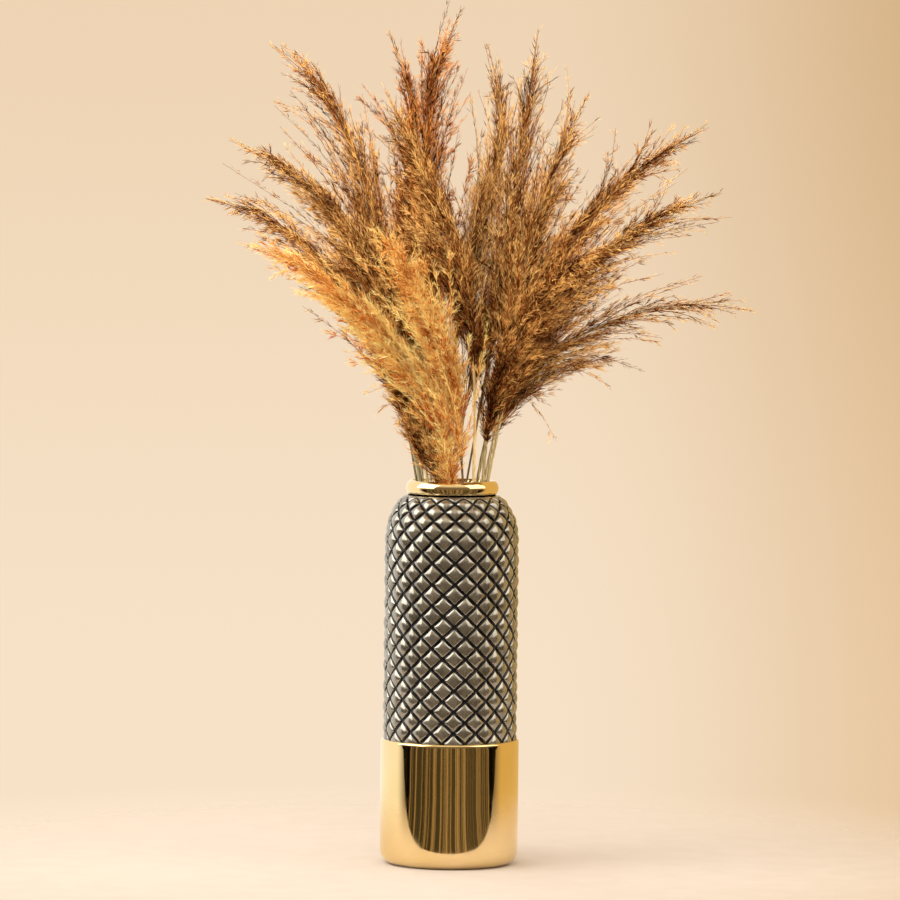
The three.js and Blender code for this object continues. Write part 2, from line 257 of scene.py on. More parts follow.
def arc(radius, height, across, along, start, end, steps):
    """Profile points on an ellipse about (radius, height), between two angles in degrees."""
    angles = np.radians(np.linspace(start, end, steps + 1))
    return [(radius + across * math.cos(a), height + along * math.sin(a)) for a in angles]


# Materials

# Nearly all of a noise's values lie between the first two; sRGB is a straight line below the third
NOISE_LOW = 0.3
NOISE_HIGH = 0.7
SRGB_BEND = 0.0392


def linear(red, green, blue):
    """Scene colour of an sRGB colour given from 0 to 255."""
    shares = [value / 255 for value in (red, green, blue)]
    return tuple(c / 12.92 if c < SRGB_BEND else ((c + 0.055) / 1.055) ** 2.4 for c in shares)


def new_material(name):
    """A material with its nodes, its links, its shader and the place on the object."""
    material = bpy.data.materials.new(name)
    material.use_nodes = True
    nodes = material.node_tree.nodes
    place = nodes.new("ShaderNodeTexCoord").outputs["Object"]
    return material, nodes, material.node_tree.links, nodes["Principled BSDF"], place


def noise(nodes, links, coordinates, scale, detail=3.0, roughness=0.55):
    node = nodes.new("ShaderNodeTexNoise")
    node.inputs["Scale"].default_value = scale
    node.inputs["Detail"].default_value = detail
    node.inputs["Roughness"].default_value = roughness
    links.new(coordinates, node.inputs["Vector"])
    return node.outputs["Fac"]


def maths(nodes, links, operation, *values):
    node = nodes.new("ShaderNodeMath")
    node.operation = operation
    for socket, value in zip(node.inputs, values):
        links.new(value, socket)
    return node.outputs["Value"]


def ranged(nodes, links, value, start, stop, low=0.0, high=1.0, kind="SMOOTHSTEP"):
    """The value, moved from the range start to stop into the range low to high and kept inside it."""
    node = nodes.new("ShaderNodeMapRange")
    node.interpolation_type = kind
    node.inputs["From Min"].default_value = start
    node.inputs["From Max"].default_value = stop
    node.inputs["To Min"].default_value = low
    node.inputs["To Max"].default_value = high
    links.new(value, node.inputs["Value"])
    return node.outputs["Result"]


def ramp(nodes, links, factor, stops):
    node = nodes.new("ShaderNodeValToRGB")
    elements = node.color_ramp.elements
    while len(elements) < len(stops):
        elements.new(0.5)
    for element, (position, colour) in zip(elements, stops):
        element.position = position
        element.color = (*colour, 1.0)
    links.new(factor, node.inputs["Fac"])
    return node.outputs["Color"]


def spread(nodes, links, factor, low, high):
    """A number that goes with a noise."""
    return ranged(nodes, links, factor, NOISE_LOW, NOISE_HIGH, low, high, "LINEAR")


def two_tone(nodes, links, factor, first, second):
    """A colour that goes with a noise."""
    return ramp(nodes, links, factor, [(NOISE_LOW, first), (NOISE_HIGH, second)])


def bump(nodes, links, height, shader, strength, distance):
    node = nodes.new("ShaderNodeBump")
    node.inputs["Strength"].default_value = strength
    node.inputs["Distance"].default_value = distance
    links.new(height, node.inputs["Height"])
    links.new(node.outputs["Normal"], shader.inputs["Normal"])


def gold_material():
    material, nodes, links, shader, place = new_material("gold_lustre")
    broad = noise(nodes, links, place, scale=14.0, detail=2.0)
    fine = noise(nodes, links, place, scale=90.0)
    colour = two_tone(nodes, links, broad, (0.86, 0.66, 0.32), (0.92, 0.73, 0.41))
    links.new(colour, shader.inputs["Base Color"])
    links.new(spread(nodes, links, fine, low=0.035, high=0.085), shader.inputs["Roughness"])
    bump(nodes, links, broad, shader, strength=0.25, distance=0.0012)
    shader.inputs["Metallic"].default_value = 1.0
    return material


def pewter_material():
    material, nodes, links, shader, place = new_material("pewter_lustre")
    broad = noise(nodes, links, place, scale=70.0)
    fine = noise(nodes, links, place, scale=420.0)
    colour = two_tone(nodes, links, broad, (0.22, 0.206, 0.172), (0.44, 0.42, 0.37))
    links.new(colour, shader.inputs["Base Color"])
    links.new(spread(nodes, links, fine, low=0.14, high=0.23), shader.inputs["Roughness"])
    bump(nodes, links, broad, shader, strength=0.22, distance=0.001)
    shader.inputs["Metallic"].default_value = 0.85
    shader.inputs["Coat Weight"].default_value = 0.15
    shader.inputs["Coat Roughness"].default_value = 0.1
    return material


def black_material():
    material, nodes, links, shader, place = new_material("black_glaze")
    broad = noise(nodes, links, place, scale=60.0, detail=2.0)
    colour = two_tone(nodes, links, broad, (0.002, 0.002, 0.003), (0.008, 0.008, 0.009))
    links.new(colour, shader.inputs["Base Color"])
    links.new(spread(nodes, links, broad, low=0.06, high=0.16), shader.inputs["Roughness"])
    bump(nodes, links, broad, shader, strength=0.2, distance=0.0006)
    shader.inputs["Specular IOR Level"].default_value = 0.25
    return material


def straw_material(name, dark, pale):
    material, nodes, links, shader, place = new_material(name)
    stretch = nodes.new("ShaderNodeMapping")
    stretch.inputs["Scale"].default_value = (1.0, 1.0, 0.06)
    links.new(place, stretch.inputs["Vector"])
    streaks = noise(nodes, links, stretch.outputs["Vector"], scale=900.0, detail=2.0)
    links.new(two_tone(nodes, links, streaks, dark, pale), shader.inputs["Base Color"])
    links.new(spread(nodes, links, streaks, low=0.42, high=0.62), shader.inputs["Roughness"])
    bump(nodes, links, streaks, shader, strength=0.4, distance=0.0003)
    return material


def fluff_material(name, dark_and_shaded, middle, pale):
    material, nodes, links, shader, place = new_material(name)
    shade = nodes.new("ShaderNodeAttribute")
    shade.attribute_name = "shade"
    patches = noise(nodes, links, place, scale=22.0)
    change = spread(nodes, links, patches, low=-0.16, high=0.16)
    patchy = maths(nodes, links, "ADD", shade.outputs["Fac"], change)
    # The shade attribute picks a colour from the darkest to the palest: random tone, plus painted shade in
    # the core and a painted glow at the loose ends
    colour = ramp(nodes, links, patchy, [(0.08, dark_and_shaded), (0.5, middle), (0.9, pale)])
    links.new(colour, shader.inputs["Base Color"])
    grain = noise(nodes, links, place, scale=1500.0, detail=1.0)
    links.new(spread(nodes, links, grain, low=0.55, high=0.8), shader.inputs["Roughness"])
    shader.inputs["Specular IOR Level"].default_value = 0.08
    return material


# The dark and the pale of each straw's streaks
STRAWS = {
    "dark": (linear(60, 46, 24), linear(150, 128, 84)),
    "grey": (linear(104, 98, 74), linear(186, 178, 142)),
    "olive": (linear(104, 86, 46), linear(226, 210, 158)),
    "pale": (linear(150, 128, 74), linear(252, 240, 196)),
    "yellow": (linear(206, 176, 116), linear(250, 232, 180)),
}

# Each plume's colour in its core, in its middle and at its loose ends; the core's colour is partly painted
# shade, the loose ends' colour partly a painted glow of light through them
TONES = {
    "orange": (linear(192, 86, 24), linear(255, 206, 112), linear(255, 243, 172)),
    "tan": (linear(44, 16, 4), linear(160, 89, 35), linear(255, 214, 134)),
    "rust": (linear(36, 13, 4), linear(144, 70, 25), linear(246, 176, 94)),
    "brown": (linear(40, 15, 4), linear(158, 86, 34), linear(254, 206, 124)),
}


# Vase

def stud_rows():
    """How far along the shoulder's quarter ellipse each half-row lies; the wall's rows are at 0."""
    angles = [0.0] * (WALL_HALF_ROWS + 2)
    angle = 0.0
    while angle < math.pi / 2:
        radius = NECK_RADIUS + SHOULDER_DEPTH * math.cos(angle)
        step = HALF_ROW * radius / GROOVE_RADIUS
        angle += step / math.hypot(SHOULDER_DEPTH * math.sin(angle), SHOULDER_RISE * math.cos(angle))
        angles.append(min(angle, math.pi / 2))
    return np.array(angles)


def wall_point(row):
    """Radius, height and outward slope of the wall at a row, which may lie between two of them."""
    angles = stud_rows()
    angle = np.interp(row, np.arange(len(angles)), angles)
    height = np.minimum(BAND_HEIGHT + (row - 1) * HALF_ROW, SHOULDER_START) + SHOULDER_RISE * np.sin(angle)
    radius = NECK_RADIUS + SHOULDER_DEPTH * np.cos(angle) ** SHOULDER_FALL
    slope = np.arctan2(np.sin(angle) / SHOULDER_RISE, np.cos(angle) / SHOULDER_DEPTH)
    return radius, height, slope


def stud_relief(rng, across, up):
    """How far a slightly uneven, rounded pyramid stands out at a place across and up it, each 0 to 1."""
    lean = rng.uniform(0.86, 1.16, 2)
    high = rng.uniform(0.85, 1.08)
    tilt = rng.uniform(-0.16, 0.16, 2)
    s = across ** lean[0]
    t = up ** lean[1]
    inward = 2 * np.minimum(np.minimum(s, 1 - s), np.minimum(t, 1 - t))
    dome = 16 * s * (1 - s) * t * (1 - t)
    step = np.clip((inward - GROOVE_WIDTH) / GROOVE_SIDE, 0, 1)
    step = step * step * (3 - 2 * step)
    peak = STUD_SHARPNESS * inward + (1 - STUD_SHARPNESS) * dome ** 0.8
    slant = 1 + tilt[0] * (s - 0.5) + tilt[1] * (t - 0.5)
    return (STUD_STEP * step + STUD_PEAK * peak * slant) * high


def studs():
    """The studs and the grooves between them, with the material of each face."""
    rng = np.random.default_rng(11)
    last = len(stud_rows()) - 1
    count = len(STUD_CUTS)
    across, up = np.meshgrid(STUD_CUTS, STUD_CUTS, indexing="ij")
    corner = (np.arange(count - 1)[:, None] * count + np.arange(count - 1)[None]).ravel()
    quads = np.stack([corner, corner + count, corner + count + 1, corner + 1], axis=1)
    inner = np.array([0, *[1] * (count - 3), 0], dtype=bool)
    in_groove = ~(inner[:, None] & inner[None]).ravel()
    points = []
    faces = []
    slots = []
    for row in range(last + 1):
        for column in range(row % 2, 2 * STUDS_AROUND, 2):
            place = np.clip(row + across + up - 1, 0, last)
            radius, height, slope = wall_point(place)
            fade = np.clip((last - place) / FADING_ROWS, 0, 1)
            rise = stud_relief(rng, across, up) * (radius / GROOVE_RADIUS) * fade - GROOVE_DEPTH * fade
            radius = radius + rise * np.cos(slope)
            height = height + rise * np.sin(slope)
            angle = np.radians((column + across - up) * 180.0 / STUDS_AROUND + PATTERN_TURN)
            faces.append(quads + len(points) * count * count)
            grid = np.stack([radius * np.cos(angle), radius * np.sin(angle), height], axis=2)
            points.append(grid.reshape(-1, 3))
            middle = place.ravel()[corner] + 0.5 * (STUD_CUTS[1] - STUD_CUTS[0])
            slots.append(np.where(in_groove & (middle < last - PLAIN_ROWS), 2, 1))
    return np.concatenate(points), np.concatenate(faces), np.concatenate(slots)


def make_vase():
    lip_inner = MOUTH_RADIUS + LIP_INSIDE
    lip_outside = LIP_RADIUS - MOUTH_RADIUS - LIP_INSIDE
    base_inner = BAND_RADIUS - WALL
    wall_inner = GROOVE_RADIUS + STUD_RISE / 3 - WALL
    band = [
        (0.0, FOOT_RECESS), (FOOT_RADIUS - 2 * RECESS_EDGE, FOOT_RECESS), (FOOT_RADIUS - RECESS_EDGE, 0.0),
        *arc(FOOT_RADIUS, FOOT_CORNER, FOOT_CORNER, FOOT_CORNER, -90, 0, steps=16),
        *[(BAND_RADIUS, h) for h in np.linspace(FOOT_CORNER + 8, BAND_HEIGHT - BAND_EDGE - 4, 12)],
        *arc(BAND_RADIUS - BAND_EDGE, BAND_HEIGHT - BAND_EDGE, BAND_EDGE, BAND_EDGE, 0, 90, steps=8),
        (GROOVE_RADIUS - 1.5, BAND_HEIGHT - 0.4),
    ]
    lip = [
        (MOUTH_RADIUS + 2, LIP_MIDDLE - LIP_HEIGHT / 2 + 0.3),
        *arc(lip_inner, LIP_MIDDLE, lip_outside, LIP_HEIGHT / 2, -80, 90, steps=24),
        *arc(lip_inner, LIP_MIDDLE, LIP_INSIDE, LIP_HEIGHT / 2, 90, 180, steps=10)[1:],
        (MOUTH_RADIUS, LIP_MIDDLE - LIP_HEIGHT / 2),
    ]
    depth = wall_inner - MOUTH_RADIUS
    shoulder = arc(MOUTH_RADIUS, SHOULDER_START - WALL, depth, SHOULDER_RISE, 0, 88, steps=12)
    inside = [
        (MOUTH_RADIUS, LIP_MIDDLE - LIP_HEIGHT / 2),
        *reversed(shoulder),
        (wall_inner, BAND_HEIGHT - WALL), (base_inner, BAND_HEIGHT - 2 * WALL), (base_inner, 2 * FLOOR),
        (base_inner - FLOOR, FLOOR), (0.0, FLOOR),
    ]
    parts = []
    for profile, slot in ((band, 0), (lip, 0), (inside, 2)):
        points, quads = lathe(profile, LATHE_SIDES)
        parts.append((points, quads, slot, None))
    points, quads, slots = studs()
    parts.append((points, quads, slots, None))
    piece = make_piece("vase_glazed", parts, [gold_material(), pewter_material(), black_material()])
    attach(piece, "root")
    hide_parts("vase")


# Stalks

def around(angle, radius, height):
    """A point by its angle in degrees about the vase's axis."""
    return np.array([radius * math.cos(math.radians(angle)), radius * math.sin(math.radians(angle)), height])


def stalk_line(stalk):
    """Foot, neck and the spine's four control points."""
    foot = around(stalk["rim"] + FOOT_TURN, FOOT_RING, FOOT_LIFT)
    lean = around(stalk["rim"], LEAN_RING, LIP_MIDDLE)
    direction = unit(lean - foot)
    neck = foot + direction * (stalk["neck"] - foot[2]) / direction[2]
    tip = np.array(stalk["tip"], dtype=float)
    reach = np.linalg.norm(tip - neck)
    heading = stalk.get("heading", math.degrees(math.atan2(tip[1] - neck[1], tip[0] - neck[0])))
    rise = math.radians(stalk["rise"])
    ending = around(heading, math.cos(rise), math.sin(rise))
    stiff_end = neck + direction * reach * stalk["stiff"]
    return foot, neck, np.array([neck + direction * 0.3, stiff_end, tip - ending * reach * 0.3, tip])


def cubic(controls, t):
    t = np.asarray(t, dtype=float)[..., None]
    a, b, c, d = controls
    return a * (1 - t) ** 3 + 3 * b * (1 - t) ** 2 * t + 3 * c * (1 - t) * t ** 2 + d * t ** 3


def cubic_tangent(controls, t):
    t = np.asarray(t, dtype=float)[..., None]
    a, b, c, d = controls
    return unit((b - a) * (1 - t) ** 2 + 2 * (c - b) * (1 - t) * t + (d - c) * t ** 2)


def core_radius(stalk, along):
    swell = np.sin(np.pi * np.clip(along, 0, 1) ** 0.85)
    return CORE_BASE * (1 - along) + stalk["girth"] * np.maximum(swell, 0) ** 1.4


def root_of(spine, end):
    """How far along the spine a long side branch leaves it, so that it bends away only a little."""
    steps = np.arange(0.1, 0.8, 0.05)
    ahead = np.sum(unit(end - cubic(spine, steps)) * cubic_tangent(spine, steps), axis=1)
    return steps[np.argmin(np.abs(ahead - 0.93))]


def turn_from_up(direction):
    return np.array(Vector((0, 0, 1)).rotation_difference(Vector(direction)).to_matrix())


def grown_locks(index, stalk, spine):
    """Start and end of each lock that the plume's solid has, found by the tips in its mesh."""
    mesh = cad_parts[f"plume_{index + 1:02d}"].data
    tips = np.empty(len(mesh.vertices) * 3)
    mesh.vertices.foreach_get("co", tips)
    tips = tips.reshape(-1, 3) / MM
    locks = []
    for point in stalk["ends"]:
        end = np.array(point, dtype=float)
        if np.min(np.linalg.norm(tips - end, axis=1)) < 1:
            locks.append((root_of(spine, end), end, True))
    for turn_round in range(LOCKS_EACH):
        start = 0.1 + 0.66 * turn_round / (LOCKS_EACH - 1)
        beside = min(start + 0.26, 0.96)
        reach = core_radius(stalk, beside) * 0.5 + stalk["girth"] * (2.1 - 1.5 * beside)
        sideways = turn_from_up(cubic_tangent(spine, beside))
        for attempt in range(LOCK_TRIES):
            turn = GOLDEN_TURN * (turn_round + index) + 360 / LOCK_TRIES * attempt
            end = cubic(spine, beside) + sideways @ around(turn, reach, 0)
            if np.min(np.linalg.norm(tips - end, axis=1)) < 0.5:
                locks.append((start, end, False))
                break
    return locks


def tubes(curves, radii, sides):
    """Thin rods along many curves at once: curves is (count, steps, 3) and radii (count, steps)."""
    count, steps, _ = curves.shape
    tangents = unit(np.gradient(curves, axis=1))
    helper = np.where(np.abs(tangents[:, :1, 2:]) < 0.8, [[[0, 0, 1.0]]], [[[1.0, 0, 0]]])
    side = unit(np.cross(tangents, np.broadcast_to(helper, tangents.shape)))
    other = np.cross(tangents, side)
    angles = np.arange(sides) * 2 * math.pi / sides
    cosines = np.cos(angles)[None, None, :, None]
    sines = np.sin(angles)[None, None, :, None]
    ring = side[:, :, None] * cosines + other[:, :, None] * sines
    points = curves[:, :, None] + ring * radii[:, :, None, None]
    base = (np.arange(count)[:, None, None] * steps + np.arange(steps - 1)[None, :, None]) * sides
    here = np.arange(sides)[None, None]
    there = (here + 1) % sides
    quads = np.stack([base + here, base + there, base + sides + there, base + sides + here], axis=3)
    return points.reshape(-1, 3), quads.reshape(-1, 4)


def make_stem(index, stalk, foot, neck, material):
    rng = np.random.default_rng(200 + index)
    steps = np.linspace(0, 1, STEM_STEPS)
    line = foot + (neck - foot) * steps[:, None]
    length = np.linalg.norm(neck - foot)
    joints = np.cumsum(rng.uniform(*JOINT_SPACING, JOINTS)) / length
    radii = np.full(len(steps), STEM_RADIUS * stalk["width"])
    for joint in joints:
        radii += JOINT_SWELL * stalk["width"] * np.exp(-((steps - joint) * length / JOINT_LENGTH) ** 2)
    sway = rng.normal(0, 1, 3)
    sway[2] = 0
    line = line + np.sin(np.pi * steps)[:, None] * unit(sway) * STEM_BOW
    points, quads = tubes(line[None], radii[None], STEM_SIDES)
    piece = make_piece(f"straw_{index + 1:02d}", [(points, quads, 0, None)], [material])
    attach(piece, "root")
    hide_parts(f"stem_{index + 1:02d}")


def quadratic(curves, t):
    """Points at t on curves of shape (count, 3 controls, 3); t is (count,) or (count, steps)."""
    if t.ndim == 2:
        curves = curves[:, None]
    a, b, c = curves[..., 0, :], curves[..., 1, :], curves[..., 2, :]
    t = t[..., None]
    return a * (1 - t) ** 2 + 2 * b * (1 - t) * t + c * t ** 2


def quadratic_tangent(curves, t):
    a, b, c = curves[:, 0], curves[:, 1], curves[:, 2]
    return unit((b - a) * (1 - t)[:, None] + (c - b) * t[:, None])


def envelope(stalk, station):
    """How far from the spine the tips of the side branches reach at a station along it."""
    grow = np.clip((station + 0.03) / 0.3, 0, 1) ** 0.7
    return stalk["girth"] * 3.7 * (1 - station) ** 0.75 * grow + 1.0


def free_branches(rng, stalk, spine):
    """The side branches that grow all round the spine, some of them fanning out further than the rest."""
    full = stalk.get("full", 1.0)
    bare = stalk.get("bare", 0.0)
    count = int(BRANCHES * full)
    even = (np.arange(count) + rng.uniform(0, 1, count)) / count
    start = bare + even ** (1.5 / full) * (LAST_START - bare)
    station = start + rng.uniform(0.24, 0.56, count) * (1 - start)
    turn = np.arange(count) * math.radians(GOLDEN_TURN) + rng.normal(0, 0.5, count)
    wide = envelope(stalk, station) * rng.uniform(0.05, 1.15, count) ** 0.55
    fan = rng.uniform(0, 1, count) < FANNED
    station = np.where(fan, np.minimum(start + 0.5, LAST_START), station)
    wide = np.where(fan, wide * 1.75, wide)
    drift = np.array(stalk.get("sweep", (0, 0, 0)), dtype=float)
    branches = []
    for place, beside, angle, reach in zip(start, station, turn, wide):
        along = cubic_tangent(spine, beside)
        root = cubic(spine, place)
        spoke = turn_from_up(along) @ np.array([reach * math.cos(angle), reach * math.sin(angle), 0])
        end = cubic(spine, beside) + spoke
        gap = np.linalg.norm(end - root)
        sag = 0.03 + 0.12 * (1 - abs(along[2]))
        end = end + drift * gap - [0, 0, sag * gap]
        branches.append((root, root + cubic_tangent(spine, place) * gap * 0.46 + spoke * 0.4, end))
    return branches


def lock_branches(rng, stalk, spine, locks):
    """Strands for each lock of the solid: the first reaches the lock's end, the others lie loosely by."""
    branches = []
    for start, end, is_long in locks:
        wander = 3.5 if is_long else 5.5
        for strand in range(max(2, round(4 * stalk.get("full", 1.0)))):
            loose = 0 if strand == 0 else 1
            place = np.clip(start + loose * rng.normal(0, 0.04), 0.02, 0.95)
            root = cubic(spine, place)
            gap = np.linalg.norm(end - root)
            short = loose * unit(end - root) * rng.uniform(0, 0.45) * gap
            finish = end - short + loose * rng.normal(0, wander, 3)
            bend = root + cubic_tangent(spine, place) * 0.5 * gap + loose * rng.normal(0, wander, 3)
            branches.append((root, bend, finish))
    return branches


def stray_branches(stalk, spine):
    """The thin branches that stand off from the plume."""
    branches = []
    for point in stalk.get("strays", []):
        end = np.array(point, dtype=float)
        place = root_of(spine, end)
        root = cubic(spine, place)
        branches.append((root, root + cubic_tangent(spine, place) * 0.55 * np.linalg.norm(end - root), end))
    return branches


def low_branches(rng, stalk, spine):
    """Thin branches from the stalk just below the plume."""
    low = 0 if stalk.get("bare") else stalk.get("low", 6)
    lead = cubic_tangent(spine, 0.0)
    branches = []
    for below in low * rng.uniform(0, 1, int(2.6 * low)) ** 0.7:
        root = spine[0] - lead * below
        across = rng.normal(0, 1, 3)
        across = unit(across - lead * across.dot(lead))
        end = root + lead * rng.uniform(18, 60) + across * rng.uniform(2, 10)
        branches.append((root, root + lead * np.linalg.norm(end - root) * 0.5, end))
    return branches


def side_branches(rng, stalk, spine, locks):
    """Three control points for every side branch of a plume; the last two branches are its tip."""
    tip = spine[3]
    return np.array([
        *free_branches(rng, stalk, spine),
        *lock_branches(rng, stalk, spine, locks),
        *stray_branches(stalk, spine),
        *low_branches(rng, stalk, spine),
        (cubic(spine, 0.6), cubic(spine, 0.8), tip),
        (cubic(spine, 0.75), cubic(spine, 0.9), tip + rng.normal(0, 2.0, 3)),
    ])


def branchlets(rng, branches, airy):
    """Control points of the short branchlets, and the branch and the place on it where each stands."""
    span = np.linalg.norm(branches[:, 2] - branches[:, 0], axis=1)
    owner = np.repeat(np.arange(len(branches)), np.clip(span / BRANCHLET_PITCH, 3, 17).astype(int))
    count = len(owner)
    place = rng.uniform(0.16, 0.95, count)
    root = quadratic(branches[owner], place)
    along = quadratic_tangent(branches[owner], place)
    side = unit(np.cross(along, rng.normal(0, 1, (count, 3))))
    angle = np.radians(rng.uniform(*BRANCHLET_ANGLE, count))[:, None]
    length = (rng.uniform(*BRANCHLET_LENGTH, count) * (1 - 0.5 * place) * airy[owner] ** 1.3)[:, None]
    heading = along * np.cos(angle) + side * np.sin(angle)
    end = root + heading * length - np.array([0, 0, 0.1]) * length
    bend = root + heading * length * 0.5 + side * length * 0.05
    return np.stack([root, bend, end], axis=1), owner, place


def leaves(base, heading, length, half_width, flat):
    """Narrow folded scales of two triangles each."""
    fold = np.cross(heading, flat)
    top = base + heading * length[:, None]
    middle = base + heading * (length * 0.4)[:, None] + fold * (0.4 * half_width)[:, None]
    left = middle + flat * half_width[:, None]
    right = middle - flat * half_width[:, None]
    points = np.stack([base, left, top, right], axis=1).reshape(-1, 3)
    first = np.arange(len(base))[:, None] * 4
    return points, np.concatenate([first + [0, 1, 2], first + [0, 2, 3]])


def spikelets(rng, curves, per_mm, first, tone, pale_ends_and_glow):
    """The scales along curves, from `first` of each curve's length on, and the shade of their points.

    They are paler at the end of a curve than at its start, by the last argument: partly the scales' own paler
    tips, partly painted light, a glow through the plume's loose ends and shade in its core.
    """
    span = np.linalg.norm(curves[:, 2] - curves[:, 0], axis=1)
    owner = np.repeat(np.arange(len(curves)), np.maximum((span * per_mm).astype(int), 2))
    count = len(owner)
    place = first + (0.97 - first) * rng.uniform(0, 1, count)
    along = quadratic_tangent(curves[owner], place)
    side = unit(np.cross(along, rng.normal(0, 1, (count, 3))))
    base = quadratic(curves[owner], place) + side * rng.uniform(0, 0.6, count)[:, None]
    angle = np.radians(rng.uniform(*SCALE_ANGLE, count) * (1 + 0.35 * place))[:, None]
    heading = unit(along * np.cos(angle) + side * np.sin(angle) - np.array([0, 0, 0.05]))
    length = rng.uniform(*SCALE_LENGTH, count) * (1.0 - 0.28 * place)
    half_width = rng.uniform(*SCALE_HALF_WIDTH, count) * (1.0 - 0.25 * place)
    flat = unit(np.cross(heading, rng.normal(0, 1, (count, 3))))
    points, faces = leaves(base, heading, length, half_width, flat)
    # Painted light mixed with tone: random tone, paler towards a curve's end, and each scale darker at its
    # base and paler at its tip, which paints shade in the plume's core and a glow at its loose ends
    own = tone[owner] + rng.normal(0, 0.38, count) * (1.1 - 0.5 * place) + pale_ends_and_glow * (place - 0.5)
    shade = own[:, None] + np.array([-0.2, 0.0, 0.28, 0.0])
    return points, faces, 0, np.clip(shade.ravel(), 0, 1)


def rachis_tube(neck, spine):
    """The stalk's own end, which carries the side branches."""
    steps = np.linspace(0, 1, 36)
    line = cubic(spine, steps)
    line[0] = neck
    radii = RACHIS_RADIUS * (1 - steps) ** 0.8 + 0.2
    points, quads = tubes(line[None], radii[None], 6)
    return points, quads, 1, np.full(len(points), 0.5)


def branch_tubes(branches, tone):
    steps = np.linspace(0, 1, BRANCH_STEPS)
    shape = (len(branches), BRANCH_STEPS)
    lines = quadratic(branches, np.broadcast_to(steps, shape))
    points, quads = tubes(lines, np.broadcast_to(BRANCH_RADIUS * (1 - steps) + 0.12, shape), BRANCH_SIDES)
    return points, quads, 0, np.repeat(np.clip(tone * 1.2 - 0.12, 0, 1), BRANCH_STEPS * BRANCH_SIDES)


def make_plume(index, stalk, neck, spine, fluff, straw):
    rng = np.random.default_rng(500 + index)
    branches = side_branches(rng, stalk, spine, grown_locks(index, stalk, spine))
    near_tip = np.linalg.norm(branches[:, 2] - spine[3], axis=1) / np.linalg.norm(spine[3] - spine[0])
    airy = np.clip(0.36 + 1.2 * near_tip, 0.36, 1.0)
    twigs, owner, place = branchlets(rng, branches, airy)
    tone = rng.normal(0.43, 0.17, len(branches))
    parts = [rachis_tube(neck, spine), branch_tubes(branches, tone)]
    reach = twigs[:, 2] - twigs[:, 0]
    flat = unit(np.cross(reach, rng.normal(0, 1, reach.shape)))
    half_width = np.full(len(twigs), BRANCHLET_HALF_WIDTH)
    points, faces = leaves(twigs[:, 0], unit(reach), np.linalg.norm(reach, axis=1), half_width, flat)
    # Twigs are paler towards their loose ends and darker at their roots: partly the grass's own paler tips,
    # partly painted shade in the core and a painted glow at the ends
    twig_tone_and_glow = tone[owner] + rng.normal(0, 0.26, len(twigs)) + 0.6 * (place - 0.5)
    parts.append((points, faces, 0, np.repeat(np.clip(twig_tone_and_glow, 0, 1), 4)))
    rate = airy ** 0.5 * stalk.get("dense", 1.0)
    parts.append(spikelets(rng, branches, BRANCH_SCALES * rate, 0.2, tone, pale_ends_and_glow=0.75))
    parts.append(spikelets(rng, twigs, BRANCHLET_SCALES * rate[owner], 0.0, twig_tone_and_glow, pale_ends_and_glow=0.4))
    piece = make_piece(f"fluff_{index + 1:02d}", parts, [fluff, straw], smooth=False)
    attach(piece, "root")
    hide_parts(f"plume_{index + 1:02d}")


# Stage

# In metres and degrees, with the vase's foot at the origin
CAMERA_LENS = 200.2
CAMERA_PLACE = (-0.0026, -4.75, 0.590)
CAMERA_TARGET = (-0.0026, 0.0, 0.3936)
CAMERA_ROLL = 0.59
LIGHTS_AIM = 0.45
NEARLY_WHITE = (1.0, 0.96, 0.9)
AMBER = (1.0, 0.84, 0.62)
FLOOR_FADE = (0.18, 0.75)

# In millimetres: the rings and height of the floor, and the sides and depth of the dark panel on it
FLOOR_RINGS = (0.001, 400, 1200, 2600)
FLOOR_HEIGHT = -0.05
FLAG_SIDE = 4000
FLAG_DEPTH = (-170, -4500)


def mixed(nodes, links, factor, first, second):
    """A blend of two colours, each of them a value or another node's output."""
    node = nodes.new("ShaderNodeMix")
    node.data_type = "RGBA"
    links.new(factor, node.inputs["Factor"])
    for socket, value in (("A", first), ("B", second)):
        target = [item for item in node.inputs if item.name == socket and item.type == "RGBA"][0]
        if isinstance(value, tuple):
            target.default_value = (*value, 1.0)
        else:
            links.new(value, target)
    return [item for item in node.outputs if item.type == "RGBA"][0]


def make_world():
    """The paper behind the vase, and for reflections a studio that is dim in front and bright above."""
    world = bpy.data.worlds.new("studio")
    bpy.context.scene.world = world
    world.use_nodes = True
    nodes, links = world.node_tree.nodes, world.node_tree.links
    nodes.clear()
    parts = nodes.new("ShaderNodeSeparateXYZ")
    links.new(nodes.new("ShaderNodeTexCoord").outputs["Generated"], parts.inputs["Vector"])
    side = ranged(nodes, links, parts.outputs["X"], start=0.012, stop=0.124)
    height = ranged(nodes, links, parts.outputs["Z"], start=-0.1, stop=0.06)
    depth = ranged(nodes, links, parts.outputs["Y"], start=-0.25, stop=0.15)
    raised = ranged(nodes, links, parts.outputs["Z"], start=0.25, stop=0.75)
    lower = mixed(nodes, links, side, linear(247, 226, 200), linear(227, 192, 148))
    upper = mixed(nodes, links, side, linear(238, 212, 180), linear(207, 170, 122))
    seen = mixed(nodes, links, height, lower, upper)
    behind = mixed(nodes, links, side, (1.12, 1.07, 0.98), linear(228, 190, 118))
    above = mixed(nodes, links, raised, linear(124, 106, 84), linear(255, 238, 206))
    reflected = mixed(nodes, links, depth, above, behind)
    path = nodes.new("ShaderNodeLightPath")
    background = nodes.new("ShaderNodeBackground")
    links.new(mixed(nodes, links, path.outputs["Is Glossy Ray"], seen, reflected), background.inputs["Color"])
    diffuse = path.outputs["Is Diffuse Ray"]
    strength = ranged(nodes, links, diffuse, start=0.0, stop=1.0, low=1.0, high=0.72, kind="LINEAR")
    links.new(strength, background.inputs["Strength"])
    output = nodes.new("ShaderNodeOutputWorld")
    links.new(background.outputs["Background"], output.inputs["Surface"])


